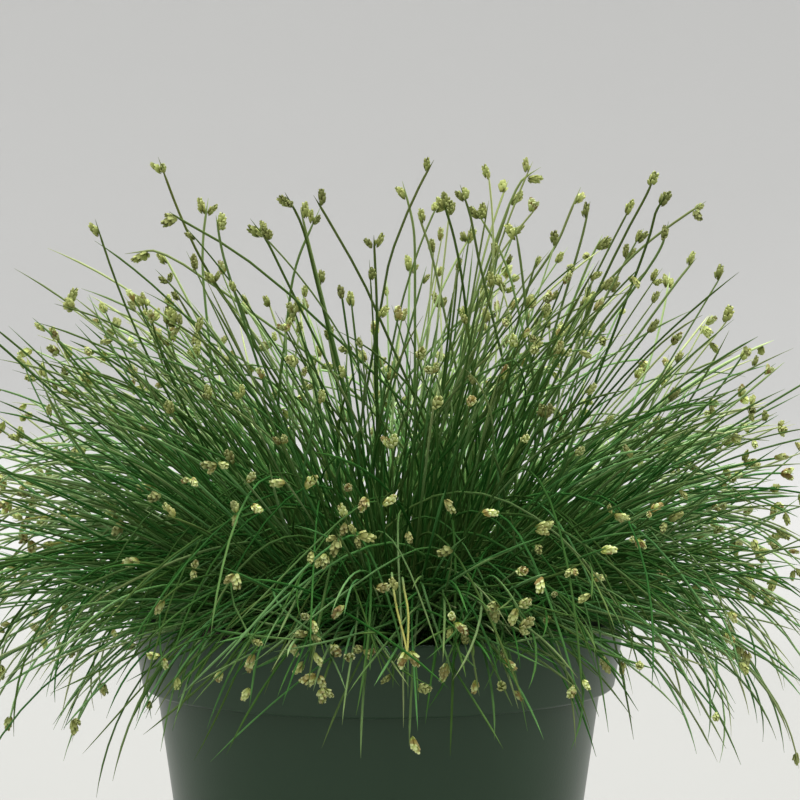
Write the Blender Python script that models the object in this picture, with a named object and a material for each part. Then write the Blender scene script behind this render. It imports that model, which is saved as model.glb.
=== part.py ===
"""Potted fiber optic grass: a sedge tussock in a grey pot, at its real size, +Z up.

The origin is the middle of the pot's flat underside. The pieces are the pot, its potting
soil, the root crown that sits on the soil, and the tufts of culms that spring from the
crown. Every tuft is one bundle of thread-thin culms that parts near its end into single
culms, each with a spikelet at its tip. The tufts stand in tiers round the crown: upright
in the middle, leaning and spreading further out, hanging over the rim at the edge.
"""

import math
import random

import bmesh
import bpy
from mathutils import Vector, noise

MM = 0.001
GAP = 0.3 * MM  # clearance between pieces that touch

# pot: a deep collar at the rim over a plain tapering body
RIM_RADIUS = 65 * MM
POT_HEIGHT = 110 * MM
COLLAR_HEIGHT = 18.5 * MM
COLLAR_DRAFT = 3 * MM
COLLAR_STEP = 3.6 * MM
BASE_RADIUS = 46 * MM
BASE_EDGE = 3 * MM
LIP_EDGE = 0.7 * MM
WALL = 2.2 * MM
FLOOR = 2.6 * MM
POT_SIDES = 48

# potting soil: fills the pot to just below the rim
SOIL_TOP = POT_HEIGHT - 7 * MM
SOIL_LUMP = 1.1 * MM
SOIL_LUMPS_PER_METRE = 90
SOIL_MARGIN = 2 * MM  # level ring left round the crown
SOIL_GAP = 0.5 * MM  # room for the flats of the pot's sides as well
SOIL_SIDES = 36

# root crown: the low dome of crowded culm bases, a little to the right of the pot's middle
CROWN_OFFSET = 5 * MM
CROWN_RADIUS = 38 * MM
CROWN_HEIGHT = 12 * MM
CROWN_EDGE = 1.5 * MM
CROWN_RINGS = (0, 0.25, 0.5, 0.75, 0.92, 1)  # shares of the radius
CROWN_SIDES = 30

# tufts
TUFT_LIFT = 2 * GAP  # from a tuft's root to the true dome, outside the crown's flats
BUNDLE_SIDES = 5
ROOT_RADIUS = 2.5 * MM
BUNDLE_GROWTH = 0.085  # how much a bundle's radius grows for each metre of its length
PARTING = 0.52  # share of a tuft's length where the bundle parts into single culms
BUNDLE_STATIONS = (0.12, 0.3, PARTING)
CULM_FOOT_INSET = 1.1 * MM  # from a culm's foot to the edges of the bundle's end faces
CULM_SPREAD = 0.25  # how far the single culms fan out, for each metre past the parting
CULM_RADIUS = 0.6 * MM
SPIKELET_LENGTH = 4.6 * MM
SPIKELET_RADIUS = 1.45 * MM
SPIKELET_BELLY = 0.55  # share of the spikelet's length from its widest point to its tip
SHORTEST_CULM = 0.86  # length of the shortest culms in a tuft, to the longest
PATH_STEPS = 60
SEED = 11

# Each tier: name, number of tufts, distance of their roots from the crown's middle, tilt
# from upright at the root and at the tip, how soon the culms bend over, and full length.
TIERS = (
    ("upright", 1, 0 * MM, 1, 8, 1.0, 108 * MM),
    ("inner", 5, 7.2 * MM, 7, 26, 1.0, 117 * MM),
    ("leaning", 8, 13.6 * MM, 17, 49, 1.0, 121 * MM),
    ("spreading", 10, 20 * MM, 29, 78, 1.0, 105 * MM),
    ("level", 12, 26.2 * MM, 40, 106, 1.0, 92 * MM),
    ("hanging", 12, 32 * MM, 52, 154, 1.1, 88 * MM),
)
LENGTH_VARIATION = 0.05
TURN_VARIATION = 0.12  # share of the angle between two tufts of a tier

POT_COLOUR = (0.19, 0.205, 0.2, 1)
SOIL_COLOUR = (0.045, 0.03, 0.02, 1)
CROWN_COLOUR = (0.055, 0.07, 0.025, 1)
CULM_COLOUR = (0.075, 0.2, 0.05, 1)


def plain_material(name, colour, roughness):
    """A Principled material of one colour."""
    material = bpy.data.materials.new(name)
    material.use_nodes = True
    shader = material.node_tree.nodes["Principled BSDF"]
    shader.inputs["Base Color"].default_value = colour
    shader.inputs["Roughness"].default_value = roughness
    shader.inputs["Metallic"].default_value = 0
    return material


def new_object(name, mesh, material):
    """Links an object for the mesh, shaded smooth with its sharp edges kept."""
    obj = bpy.data.objects.new(name, mesh)
    bpy.context.scene.collection.objects.link(obj)
    mesh.materials.append(material)
    mesh.shade_smooth()
    mesh.set_sharp_from_angle(angle=math.radians(35))
    return obj


def turned(name, profile, sides, material):
    """A solid of revolution. The profile is (radius, height) points, down the outer side."""
    mesh = bpy.data.meshes.new(name)
    points = [(radius, 0, height) for radius, height in profile]
    mesh.from_pydata(points, [(i, i + 1) for i in range(len(points) - 1)], [])
    obj = bpy.data.objects.new(name, mesh)
    bpy.context.scene.collection.objects.link(obj)
    screw = obj.modifiers.new("Turn", "SCREW")
    screw.steps = sides
    screw.render_steps = sides
    screw.use_merge_vertices = True
    screw.merge_threshold = 0.00005
    graph = bpy.context.evaluated_depsgraph_get()
    solid = bpy.data.meshes.new_from_object(obj.evaluated_get(graph))
    bpy.data.objects.remove(obj)
    solid.name = name
    return new_object(name, solid, material)


def quarter_round(centre, radius, start, steps):
    """Points of a quarter circle, clockwise from the start angle in degrees."""
    turns = [math.radians(start - 90 * i / steps) for i in range(steps + 1)]
    return [(centre[0] + radius * math.cos(t), centre[1] + radius * math.sin(t)) for t in turns]


def body_radius(height):
    """Outer radius of the pot's body below its collar."""
    top = RIM_RADIUS - COLLAR_DRAFT - COLLAR_STEP
    return BASE_RADIUS + (top - BASE_RADIUS) * height / (POT_HEIGHT - COLLAR_HEIGHT)


def pot_inside():
    """The pot's inner side from the floor's edge up to the lip, as (radius, height) points."""
    ledge = POT_HEIGHT - COLLAR_HEIGHT
    return [
        (body_radius(FLOOR) - WALL, FLOOR),
        (body_radius(ledge) - WALL, ledge),
        (RIM_RADIUS - COLLAR_DRAFT - WALL, ledge + WALL),
        (RIM_RADIUS - WALL, POT_HEIGHT - LIP_EDGE),
    ]


def inner_radius(height):
    """Inner radius of the pot at this height."""
    points = pot_inside()
    for (low_radius, low), (high_radius, high) in zip(points, points[1:]):
        if height <= high:
            return low_radius + (high_radius - low_radius) * (height - low) / (high - low)
    return points[-1][0]


def pot_profile():
    """Inside from the floor's middle up to the lip, then outside down to the underside."""
    ledge = POT_HEIGHT - COLLAR_HEIGHT
    inside = [(0, FLOOR)] + pot_inside() + [(RIM_RADIUS - WALL + LIP_EDGE, POT_HEIGHT)]
    lip = quarter_round((RIM_RADIUS - LIP_EDGE, POT_HEIGHT - LIP_EDGE), LIP_EDGE, 90, 2)
    outside = [
        (RIM_RADIUS - COLLAR_DRAFT, ledge),
        (RIM_RADIUS - COLLAR_DRAFT - COLLAR_STEP, ledge),
    ]
    base_corner = quarter_round((BASE_RADIUS - BASE_EDGE, BASE_EDGE), BASE_EDGE, 0, 3)
    return inside + lip + outside + base_corner + [(0, 0)]


def build_pot(material):
    """The pot: collar, tapering body and flat underside, open at the top."""
    return turned("pot", pot_profile(), POT_SIDES, material)


def build_soil(material):
    """The potting soil: it follows the pot's inside, with a lumpy top round the crown."""
    flat = CROWN_RADIUS + CROWN_OFFSET + SOIL_MARGIN
    edge = SOIL_TOP - SOIL_LUMP
    brim = inner_radius(edge) - SOIL_GAP
    rings = [(flat + (brim - flat) * share, SOIL_TOP) for share in (0, 0.35, 0.7)]
    side = [(radius - SOIL_GAP, height + GAP) for radius, height in reversed(pot_inside()[:3])]
    profile = [(0, SOIL_TOP)] + rings + [(brim, edge)] + side + [(0, FLOOR + GAP)]
    soil = turned("potting_soil", profile, SOIL_SIDES, material)
    for vertex in soil.data.vertices:
        radius = math.hypot(vertex.co.x, vertex.co.y)
        if vertex.co.z > SOIL_TOP - GAP and radius > flat + GAP:
            vertex.co.z += SOIL_LUMP * noise.noise(vertex.co * SOIL_LUMPS_PER_METRE)
    return soil


def crown_height(distance):
    """Height of the crown's dome above the soil, this far from its middle."""
    return CROWN_HEIGHT - (CROWN_HEIGHT - CROWN_EDGE) * (distance / CROWN_RADIUS) ** 2


def crown_lean(distance):
    """Angle of the dome's outward normal from upright, this far from its middle."""
    slope = 2 * (CROWN_HEIGHT - CROWN_EDGE) * distance / CROWN_RADIUS**2
    return math.atan(slope)


def build_crown(material):
    """The root crown: a low dome, flat underneath, that rests on the soil."""
    dome = [(CROWN_RADIUS * share, crown_height(CROWN_RADIUS * share)) for share in CROWN_RINGS]
    profile = dome + [(CROWN_RADIUS - CROWN_EDGE, 0), (0, 0)]
    crown = turned("root_crown", profile, CROWN_SIDES, material)
    crown.location = (CROWN_OFFSET, 0, SOIL_TOP + GAP)
    return crown


def culm_path(root_tilt, tip_tilt, bend, length):
    """The arc that a tuft follows from its root, as points and tilts in the XZ plane."""
    step = length / PATH_STEPS
    point = Vector((0, 0, 0))
    path = [(point, root_tilt)]
    for i in range(PATH_STEPS):
        middle = root_tilt + (tip_tilt - root_tilt) * ((i + 0.5) / PATH_STEPS) ** bend
        point = point + Vector((math.sin(middle), 0, math.cos(middle))) * step
        path.append((point, root_tilt + (tip_tilt - root_tilt) * ((i + 1) / PATH_STEPS) ** bend))
    return path


def station(path, share):
    """The point at a share of the path, and the direction square to the path in its plane."""
    point, tilt = path[round(share * PATH_STEPS)]
    return point, Vector((math.cos(tilt), 0, -math.sin(tilt)))


def ring(bm, point, side, radius):
    """A ring of vertices round the point, square to the path, in counter-clockwise order."""
    across = Vector((0, 1, 0))
    made = []
    for i in range(BUNDLE_SIDES):
        turn = 2 * math.pi * (i + 0.5) / BUNDLE_SIDES
        made.append(bm.verts.new(point + radius * (math.cos(turn) * side + math.sin(turn) * across)))
    return made


def bundle(bm, path, length, root_lean):
    """The closed bundle from its root on the crown to its parting. Returns its end faces."""
    root_side = Vector((math.cos(root_lean), 0, -math.sin(root_lean)))
    rings = [ring(bm, Vector((0, 0, 0)), root_side, ROOT_RADIUS)]
    for share in BUNDLE_STATIONS:
        point, side = station(path, share)
        rings.append(ring(bm, point, side, ROOT_RADIUS + BUNDLE_GROWTH * share * length))
    bm.faces.new(reversed(rings[0]))
    for low, high in zip(rings, rings[1:]):
        for i in range(BUNDLE_SIDES):
            j = (i + 1) % BUNDLE_SIDES
            bm.faces.new((low[i], low[j], high[j], high[i]))
    tip = bm.verts.new(station(path, PARTING)[0])
    last = rings[-1]
    return [bm.faces.new((last[i], last[(i + 1) % BUNDLE_SIDES], tip)) for i in range(BUNDLE_SIDES)]


def draw_out(bm, face, centre, side, radius):
    """Extrudes the culm's end face to a triangle of this radius round the new centre."""
    face = bmesh.ops.extrude_discrete_faces(bm, faces=[face])["faces"][0]
    across = Vector((0, 1, 0))
    middle = face.calc_center_median()
    for vertex in face.verts:
        out = vertex.co - middle
        turn = math.atan2(out.dot(across), out.dot(side))
        vertex.co = centre + radius * (math.cos(turn) * side + math.sin(turn) * across)
    return face


def single_culm(bm, face, path, length, reach):
    """One culm drawn out of the bundle's end face, with a spikelet at its tip."""
    parting_point, parting_side = station(path, PARTING)
    across = Vector((0, 1, 0))
    out = face.calc_center_median() - parting_point
    start = out.length
    turn = math.atan2(out.dot(across), out.dot(parting_side))

    def centre_at(share):
        point, side = station(path, share)
        offset = start + CULM_SPREAD * (share - PARTING) * length
        return point + offset * (math.cos(turn) * side + math.sin(turn) * across), side

    spikelet = SPIKELET_LENGTH / length
    halfway = (PARTING + reach) / 2
    for share in (halfway, reach - spikelet):
        centre, side = centre_at(share)
        face = draw_out(bm, face, centre, side, CULM_RADIUS)
    centre, side = centre_at(reach - SPIKELET_BELLY * spikelet)
    face = draw_out(bm, face, centre, side, SPIKELET_RADIUS)
    tip = bmesh.ops.poke(bm, faces=[face])["verts"][0]
    tip.co = centre_at(reach)[0]


def tuft_mesh(name, tier, distance, rng):
    """The mesh of one tuft, rooted at its own origin and leaning along +X."""
    _, _, _, root_tilt, tip_tilt, bend, length = tier
    length *= 1 + rng.uniform(-LENGTH_VARIATION, LENGTH_VARIATION)
    path = culm_path(math.radians(root_tilt), math.radians(tip_tilt), bend, length)
    bm = bmesh.new()
    ends = bundle(bm, path, length, crown_lean(distance))
    bmesh.ops.inset_individual(bm, faces=ends, thickness=CULM_FOOT_INSET, use_even_offset=True)
    for face in ends:
        single_culm(bm, face, path, length, rng.uniform(SHORTEST_CULM, 1))
    bmesh.ops.recalc_face_normals(bm, faces=bm.faces)
    mesh = bpy.data.meshes.new(name)
    bm.to_mesh(mesh)
    bm.free()
    return mesh


def build_tufts(crown, material):
    """All the tufts, tier by tier, each on the crown's dome and parented to it."""
    rng = random.Random(SEED)
    for number, tier in enumerate(TIERS):
        name, count, distance = tier[:3]
        for i in range(count):
            turn = 2 * math.pi * (i + 0.5 * (number % 2)) / count
            turn += rng.uniform(-TURN_VARIATION, TURN_VARIATION) * 2 * math.pi / count
            label = f"tuft_{name}_{i + 1:02d}"
            tuft = new_object(label, tuft_mesh(label, tier, distance, rng), material)
            tuft.parent = crown
            lean = crown_lean(distance)
            out = distance + TUFT_LIFT * math.sin(lean)
            height = crown_height(distance) + TUFT_LIFT * math.cos(lean)
            tuft.location = (out * math.cos(turn), out * math.sin(turn), height)
            tuft.rotation_euler = (0, 0, turn)


def main():
    for obj in list(bpy.data.objects):
        bpy.data.objects.remove(obj)
    build_pot(plain_material("pot_grey", POT_COLOUR, 0.5))
    build_soil(plain_material("potting_soil", SOIL_COLOUR, 0.95))
    crown = build_crown(plain_material("crown_bases", CROWN_COLOUR, 0.8))
    build_tufts(crown, plain_material("culm_green", CULM_COLOUR, 0.45))


main()
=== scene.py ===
"""The finish of a potted fiber optic grass: its culms and spikelets, crown, soil and pot.

Every tuft of the solid model becomes its share of some two thousand single culms, swept
along arches from the crown. The culms that stand out in the photograph are placed by the
pixels of their heads, and the rest grow by the same rule all round the crown.
"""

import math
import random
from collections import namedtuple

import bmesh
import bpy
import numpy as np
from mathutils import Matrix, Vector, noise


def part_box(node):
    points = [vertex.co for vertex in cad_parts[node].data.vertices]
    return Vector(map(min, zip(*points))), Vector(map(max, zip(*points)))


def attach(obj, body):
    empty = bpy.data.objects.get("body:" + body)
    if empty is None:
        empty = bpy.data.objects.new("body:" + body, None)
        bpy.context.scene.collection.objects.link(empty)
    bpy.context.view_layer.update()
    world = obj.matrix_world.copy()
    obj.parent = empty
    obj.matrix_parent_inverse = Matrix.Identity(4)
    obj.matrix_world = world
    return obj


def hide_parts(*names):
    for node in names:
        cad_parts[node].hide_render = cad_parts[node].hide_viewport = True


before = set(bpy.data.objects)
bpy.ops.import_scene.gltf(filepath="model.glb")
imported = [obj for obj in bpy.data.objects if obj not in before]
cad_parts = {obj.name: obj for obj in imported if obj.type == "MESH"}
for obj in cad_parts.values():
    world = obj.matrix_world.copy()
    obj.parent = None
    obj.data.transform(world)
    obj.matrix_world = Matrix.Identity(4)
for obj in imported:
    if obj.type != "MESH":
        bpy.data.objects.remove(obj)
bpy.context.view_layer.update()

MM = 0.001
IMAGE = 800  # pixels across the photograph

# What the solid model gives
POT_LOW, POT_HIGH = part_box("pot")
RIM_RADIUS = (POT_HIGH[0] - POT_LOW[0]) / 2
RIM_HEIGHT = POT_HIGH[2]
CROWN_LOW, CROWN_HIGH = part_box("root_crown")
CROWN_MIDDLE = (CROWN_LOW[0] + CROWN_HIGH[0]) / 2
CROWN_RADIUS = (CROWN_HIGH[0] - CROWN_LOW[0]) / 2
SOIL_TOP = CROWN_LOW[2]
CROWN_RISE = CROWN_HIGH[2] - SOIL_TOP
TUFTS = sorted(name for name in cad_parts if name.startswith("tuft_"))

# Camera: square on to the pot, a little above it
CAMERA_DISTANCE = 900 * MM
RIM_PIXEL = (378.5, 614)  # middle of the rim
RIM_PIXELS_ACROSS = 496
RIM_ELEVATION = math.radians(7)
SENSOR = 36  # millimetres
PIXEL_SIZE = 2 * RIM_RADIUS / RIM_PIXELS_ACROSS  # at the pot's axis
FOCAL_PIXELS = CAMERA_DISTANCE / PIXEL_SIZE
CAMERA_TILT = RIM_ELEVATION - math.atan((RIM_PIXEL[1] - IMAGE / 2) / FOCAL_PIXELS)
CAMERA_PLACE = np.array((
    (IMAGE / 2 - RIM_PIXEL[0]) * PIXEL_SIZE,
    -CAMERA_DISTANCE,
    RIM_HEIGHT + CAMERA_DISTANCE * math.tan(RIM_ELEVATION),
))

# One culm
CULM_SIDES = 5
CULM_STATIONS = (0.08, 0.17, 0.26, 0.35, 0.43, 0.51, 0.59, 0.67, 0.74, 0.81, 0.87, 0.92, 0.965)
PATH_STEPS = 40
CULM_RADIUS = 0.3 * MM
CULM_GIRTHS = (0.82, 1.22)  # shares of that radius
STOUT_GIRTH = 1.3  # the same for the culms that are drawn whole
CULM_TAPER = 0.12  # share of the radius that is gone by the tip
BRACT_POINT = 0.12  # share of the radius that the bract has left at its point
RING_GAP = 1e-6  # corners at heights that differ by less are in one ring
AXIS_WIDTH = 1e-6  # corners nearer to the axis than this are on it
WIDEST_TURN = 1.25  # turns round the culm that the strip of its map has room for

# The room that culms have
WIDEST = 121 * MM  # how far from the pot's axis a culm may reach
WALL_INSIDE = RIM_RADIUS - 4 * MM
WALL_OUTSIDE = RIM_RADIUS + 1.2 * MM
WALL_CLEARANCE = 0.8 * MM
CROWN_EDGE = 1.5 * MM  # how thick the crown is at its edge
ROOT_DEPTH = 1.0 * MM  # how far under the crown's surface a culm starts
LOWEST_ROOT = 0.5 * MM  # the least height over the soil's top at which it starts
CROWN_CENTRE = np.array((CROWN_MIDDLE, 0, CROWN_HIGH[2] - 4 * MM))
FILLED_RADIUS = CROWN_RADIUS * 0.95  # the part of the crown that bears culms

# Culms that grow anywhere on the crown
SEED = 7
CULM_COUNT = 1700
ROOT_CROWDING = 0.45  # power of a random share: under 0.5, the roots crowd towards the edge
MIDDLE = 22 * MM  # how far from the middle the upright culms are rooted
MIDDLE_THINNING = 0.42  # share left out of the upright culms
FRONT_SINE = -0.72  # roots whose turn has a lower sine than this are at the front
FRONT_THINNING = 0.8  # share left out of the culms that lean towards the camera
ARCH_THINNING = 0.97  # share left out of those that would arch high over the front
ARCH_HEIGHT = 22 * MM  # how high over the rim such an arch stands
ARCH_DEPTH = 8 * MM  # how far in front of the axis it is on average
ARCH_END = 8  # the last points of its path, over which it rises by less than the next value
ARCH_END_RISE = 3 * MM
ROOT_SCATTER = math.radians(18.5)
TIP_SCATTER = math.radians(36)
BEND_POWERS = (0.8, 1.5)  # over 1, a culm bends late along its length
SHORTEST_SHARE = 0.5  # of the full length for the place of the root
SHORTEST_UPRIGHT_SHARE = 0.68  # the same for the upright culms
USUAL_SHARE = 0.92
TALL_SHARE = 1.08
TALL_CHANCE = 0.07

# Culms that hang over the rim towards the camera
DRAPE_COUNT = 250
DRAPE_ACROSS = (50, 745)  # pixels that their heads keep between
DRAPE_DOWN = (608, 765)
DRAPE_CROWDING = 0.58  # under 1, their heads crowd towards both sides
DRAPE_REACH = (84, 114)  # millimetres from the crown
DRAPE_TURN = 0.8  # radians by which their roots stray from the side they hang to
DRAPE_ROOTS = (0.2, 0.97)  # shares of the crown's radius
DRAPE_SWAY = 0.16  # how far they bow sideways, as a share of their reach
DRAPE_RISES = ((0, 0.4, 0.73, 1), (3, 9, 24, 70))  # by a random share, millimetres over the root
DRAPE_FALLS = (0.25, 0.6)  # how much of that height they still have further out

# Culms that are set one by one
DRAWN_DEPTHS = (-30, 30)  # millimetres behind the axis
FRONT_CULM_DEPTHS = (80, 92)  # millimetres in front of it
STRAW_DEPTH = 100 * MM
OPEN_REACH = (92, 106)  # millimetres from the crown
OPEN_ARCH = 0.25  # how high a culm bows, as a share of its reach
OPEN_BOW = 0.5  # where along the way it bows most
FRONT_REACH = (76, 100)
FRONT_HIGH = RIM_HEIGHT + 15 * MM  # heads above it are on flatter culms
FRONT_HIGH_ARCHES = (0.02, 0.14)
FRONT_LOW_ARCHES = (0.25, 0.4)
FRONT_BOW = 0.6
ARCH_STEP = 2 * MM  # how much higher an arch is tried until it clears the pot

# How many culms bear spikelets, as a share, by the place of the tip
UPPER_TIPS = RIM_HEIGHT + 72 * MM
TOP_TIPS = RIM_HEIGHT + 100 * MM
FRONT_TIPS = -10 * MM
UPPER_BEARING = 0.5
FRONT_BEARING = 0.03
BACK_BEARING = 0.4
DRAPE_BEARING = 0.04

# Tones from 0, dark, to 1, light. The dark tones in front are painted shade under the tussock, and
# the lightest tones behind carry a painted sheen.
FRONT_CULMS_FROM = -5 * MM  # culms that are on average nearer than this are in front
FRONT_SHADED_TONE = 0.34
FRONT_SHADE_DARKNESS = 2.2  # over 1, most of them are darker still
# Front culms low at the sides get less of that painted shade.
SIDE_TIPS = 72 * MM  # front culms that end this far to a side, and low, are lighter
SIDE_HEIGHT = RIM_HEIGHT + 18 * MM
SIDE_LIGHT = (0.05, 0.45)
STOUT_TONES = (0.15, 0.5)
# A share of the culms behind gets a pale painted sheen, and these are its tones.
SHEEN_CHANCE = 0.33
SHEEN_TONES = (0.75, 1)
DARKEST = 0.1
BACK_TONE = 0.55
BACK_DARKNESS = 1.3
WARMTH_SPREAD = 0.6  # under 1, most culms are either warm or cold
FRONT_WARMTH = 0.85
WITHERED_CHANCE = 0.004
WITHERED_BELOW = RIM_HEIGHT + 60 * MM
DRY_TRACE = 0.12  # how dry the driest of the other culms are
DRY_RARITY = 5  # over 1, most of them are less dry still
OLIVE_FROM = RIM_HEIGHT + 40 * MM  # the height at which culms start to turn olive
OLIVE_TO = RIM_HEIGHT + 115 * MM

# How a culm grows, by its root's distance from the middle of the crown
ROOT_DISTANCES = [d * MM for d in (0, 7, 14, 20, 26, 32, 38)]
ROOT_TILTS = [math.radians(t) for t in (1, 8, 18, 30, 42, 52, 60)]
TIP_TILTS = [math.radians(t) for t in (6, 20, 40, 62, 86, 108, 128)]
CULM_LENGTHS = [d * MM for d in (104, 108, 110, 110, 106, 98, 92)]
# The tussock has a dip left of its middle: shares of the length by the lean seen from the front
DIP_LEANS = [math.radians(t) for t in (-60, -42, -25, -12, 0, 10, 18, 23, 29, 42, 52)]
DIP_SHARES = (1.13, 1.1, 0.95, 0.83, 0.7, 1.04, 0.98, 0.96, 1.12, 1.1, 1.02)
# Pixels of thin places in the tussock, their radii in pixels, and the share of their culms left out
THIN_PLACES = (
    (620, 385, 26, 0.85), (675, 325, 8, 0.7), (225, 325, 12, 0.85), (275, 315, 12, 0.85),
    (375, 305, 20, 0.85), (525, 285, 16, 0.85), (358, 405, 13, 0.8), (425, 340, 10, 0.7),
    (235, 440, 20, 0.15), (310, 440, 26, 0.35), (365, 440, 24, 0.35), (520, 425, 24, 0.4),
)

# Spikelets
SPIKELET_LENGTH = 4.5 * MM
SPIKELET_GIRTH = 0.18  # radius for a length of 1
SPIKELET_SCALES = 12
SCALE_TURN = 137.5  # degrees from each scale to the next
SCALE_FLARE = 13  # degrees that the lowest scale stands out
EXTRA_FLARES = (0, 11, 5)  # degrees more, for each three scales
CLUSTERS = (0.66, 0.26, 0.08)  # how often a culm bears one, two or three
STOUT_CLUSTERS = (0.5, 0.4, 0.1)
HEAD_SEAT = 0.9  # how far down its bract a spikelet sits
BEARING_BRACTS = (0.7, 1.5)  # lengths of bracts, in lengths of a spikelet
BARE_BRACT = 1.8
HEAD_SHORTEST = 0.8  # share of the spikelet's length
STOUT_HEAD_SHORTEST = 0.95
HEAD_LONGEST = 1.25
HEAD_GIRTHS = (0.85, 1.15)
HEAD_SPIN = 6.28  # radians, a full turn
UPRIGHT = 0.6  # a culm is upright if its last stretch rises by more than this share of its length
UPRIGHT_LEANS = (0.1, 0.6)  # how far spikelets lean off an upright culm, and off the others
OTHER_LEANS = (0.4, 0.8)
OTHER_DROPS = (-0.9, 0.4)  # how far the spikelets of those hang or lift
SMALLER_EACH = 0.12  # the second spikelet of a cluster is smaller than the first by this share
OLD_FRONT = -35 * MM  # spikelets nearer than this are the oldest
YOUNG_ABOVE = RIM_HEIGHT + 75 * MM
YOUTH = (1.2, 2, 6)  # in front, behind and high up: the higher, the fewer are old
STOUT_AGE = 0.3  # those on the stout culms are young

# Pixels of the heads and, further down, of the culm below each, for culms that show whole
DRAWN_CULMS = (
    ((161, 165), (178, 212), (203, 265), (222, 293), (259, 354)),
    ((171, 213), (177, 218), (234, 249), (289, 293), (326, 328)),
    ((207, 207), (203, 234), (202, 272), (207, 320)),
    ((217, 222), (222, 253), (232, 284)),
    ((139, 252), (150, 249), (167, 255), (190, 268), (215, 286)),
    ((259, 230), (266, 238), (284, 276), (308, 324)),
    ((288, 198), (303, 224), (314, 272), (326, 320)),
    ((301, 212), (308, 240), (318, 280)),
    ((317, 201), (322, 209), (343, 245), (362, 278), (377, 312)),
    ((316, 217), (293, 268), (286, 330)),
    ((374, 240), (375, 263), (377, 301), (377, 387)),
    ((431, 165), (425, 175), (411, 203), (400, 230), (389, 259), (385, 282)),
    ((405, 191), (411, 213), (415, 234), (415, 290)),
    ((419, 217), (429, 243), (436, 272), (444, 310)),
    ((443, 201), (454, 234), (463, 282), (467, 320)),
    ((463, 193), (471, 215), (477, 253), (484, 282)),
    ((477, 212), (498, 245), (511, 276), (522, 326)),
    ((512, 197), (496, 245), (484, 286)),
    ((533, 172), (522, 177), (507, 209), (496, 240)),
    ((516, 232), (521, 263), (525, 301)),
    ((577, 196), (566, 222), (559, 242), (538, 272), (519, 301)),
    ((588, 211), (582, 238), (573, 268)),
    ((599, 242), (587, 266), (570, 310)),
    ((653, 178), (651, 188), (626, 232), (605, 276)),
    ((663, 200), (656, 207), (651, 234), (639, 266)),
    ((666, 232), (662, 249), (630, 295), (607, 324)),
    ((702, 204), (672, 224), (639, 249), (600, 290)),
    ((694, 261), (681, 276), (649, 320)),
)
# The same for culms in front of the tussock, most of them hanging over the rim
FRONT_CULMS = (
    ((251, 695), (255, 665), (262, 642), (275, 625), (290, 612), (307, 595), (322, 570)),
    ((310, 657), (315, 637), (322, 615), (325, 592), (330, 570)),
    ((253, 644), (250, 637), (240, 617), (232, 602), (231, 582), (230, 570)),
    ((317, 635), (302, 625), (285, 612), (275, 600), (272, 585)),
    ((162, 662), (160, 645), (159, 615), (164, 595)),
    ((455, 628), (443, 616), (423, 609), (386, 606), (342, 605)),
    ((578, 565), (561, 574), (523, 584), (478, 588), (448, 587), (411, 582)),
    ((451, 670), (441, 640), (428, 605), (420, 575)),
    ((478, 688), (471, 645), (465, 625), (458, 597)),
    ((521, 612), (511, 595), (501, 582), (490, 572)),
    ((363, 657), (366, 630), (366, 607), (370, 590)),
    ((580, 692), (566, 670), (548, 650), (530, 630)),
    ((508, 697), (496, 672), (486, 652), (478, 630)),
)
# Two withered straws that hang over the middle of the rim
STRAWS = (
    ((408, 660), (405, 640), (397, 612), (393, 588), (391, 566)),
    ((407, 662), (408, 638), (409, 612), (404, 590), (402, 572)),
)
# Pixels of the heads that stand in the open above the tussock
OPEN_HEADS = (
    (370, 272), (192, 263), (220, 268), (232, 284), (246, 297), (268, 301), (302, 291),
    (341, 291), (351, 300), (131, 305), (166, 303), (176, 293), (171, 318), (157, 333),
    (318, 278), (387, 289), (450, 207), (487, 211), (557, 238), (537, 259), (566, 276),
    (640, 235), (630, 253), (657, 276), (657, 297), (479, 301), (545, 309), (532, 316),
    (524, 331), (563, 349), (653, 326), (677, 339), (683, 358), (642, 375), (666, 370),
    (410, 265), (434, 246), (458, 262), (470, 232), (499, 250), (586, 300), (612, 284),
)
# Pixels of the heads in front of the tussock, on culms that lean towards the camera
FRONT_HEADS = (
    (186, 473), (147, 482), (154, 490), (117, 515), (170, 517), (135, 562), (187, 568),
    (159, 604), (242, 478), (247, 501), (232, 511), (213, 459), (228, 459), (280, 438),
    (284, 480), (301, 484), (344, 484), (366, 492), (381, 503), (345, 517), (337, 534),
    (354, 532), (309, 549), (325, 551), (374, 587), (397, 591), (345, 610), (308, 624),
    (309, 639), (287, 647), (251, 658), (330, 651), (343, 666), (303, 668), (316, 681),
    (365, 662), (320, 695), (219, 677), (173, 682), (393, 681), (444, 494), (482, 510),
    (408, 528), (456, 546), (538, 526), (541, 541), (520, 568), (546, 574), (578, 565),
    (595, 577), (562, 593), (604, 549), (618, 511), (656, 509), (643, 536), (666, 574),
    (524, 435), (580, 448), (610, 421), (639, 455), (685, 484), (499, 605), (455, 628),
    (522, 620), (509, 658), (467, 652), (593, 633), (608, 662), (628, 666), (418, 693),
    (515, 697), (433, 366), (419, 352), (434, 402), (392, 443), (470, 398), (477, 378),
    (503, 372), (262, 372), (229, 358), (238, 392), (295, 358), (318, 398), (346, 372),
    (361, 340), (300, 370), (205, 392), (168, 408), (560, 352), (588, 388), (545, 412),
)


def through_pixel(pixel):
    """The direction from the camera through a pixel, 1 long along the view."""
    across = (pixel[0] - IMAGE / 2) / FOCAL_PIXELS
    up = (IMAGE / 2 - pixel[1]) / FOCAL_PIXELS
    direction = Vector((across, up * math.sin(CAMERA_TILT) + math.cos(CAMERA_TILT),
                        up * math.cos(CAMERA_TILT) - math.sin(CAMERA_TILT)))
    return np.array(direction)


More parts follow.
